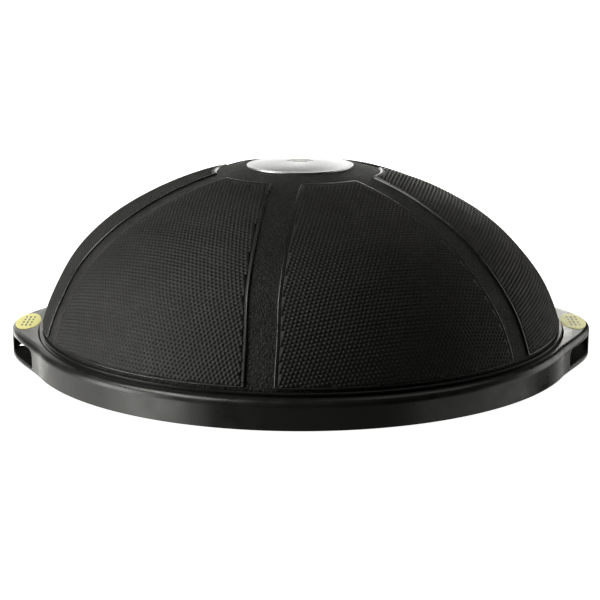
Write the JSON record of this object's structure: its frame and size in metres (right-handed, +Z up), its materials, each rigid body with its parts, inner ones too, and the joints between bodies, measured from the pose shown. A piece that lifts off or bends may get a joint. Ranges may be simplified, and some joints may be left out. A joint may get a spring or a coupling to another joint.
{
  "type": "balance dome trainer",
  "caption": "Inflated half-ball with raised grip panels, clamped on a round platform with a hand-hold lobe on each side and a pull-out air plug.",
  "frame": {"origin": "on the floor under the middle of the platform, which is the middle of the bottom of the object's box", "axes": "+Z up through the dome's crown; X through the two lobes; -Y towards the front, from which the picture was taken"},
  "size_m": [0.664, 0.6188, 0.224],
  "materials": {
    "dome_pvc": "satin, fine leather grain",
    "grip_rubber": "matte, raised round bumps",
    "shell_plastic": "satin moulded plastic, fine spark texture",
    "base_plastic": "matte moulded plastic",
    "ring_plastic": "satin moulded plastic",
    "gasket_rubber": "matte",
    "badge_silver": "brushed silver disc",
    "sticker_yellow": "satin printed film, plain yellow",
    "valve_pvc": "smooth satin",
    "plug_plastic": "smooth, slightly glossy",
    "foot_rubber": "matte",
    "screw_steel": "zinc-plated steel"
  },
  "bodies": {
    "trainer": {"platform_shell": "shell_plastic", "platform_base": "base_plastic", "clamp_ring_front": "ring_plastic", "clamp_ring_rear": "ring_plastic", "seal_gasket": "gasket_rubber", "dome_shell": "dome_pvc", "grip_panel_1": "grip_rubber", "grip_panel_2": "grip_rubber", "grip_panel_3": "grip_rubber", "grip_panel_4": "grip_rubber", "grip_panel_5": "grip_rubber", "grip_panel_6": "grip_rubber", "top_badge": "badge_silver", "sticker_left": "sticker_yellow", "sticker_right": "sticker_yellow", "valve_seat": "valve_pvc", "ring_screws": "screw_steel", "base_screws": "screw_steel", "foot_1": "foot_rubber", "foot_2": "foot_rubber", "foot_3": "foot_rubber", "foot_4": "foot_rubber", "foot_5": "foot_rubber", "foot_6": "foot_rubber", "foot_7": "foot_rubber", "foot_8": "foot_rubber"},
    "plug": {"valve_plug": "plug_plastic"}
  },
  "joints": [
    {"name": "plug_pull", "type": "slide", "parent": "trainer", "child": "plug", "axis": [0.1297, 0.9113, 0.3907], "range_m": [0, 0.03]}
  ]
}
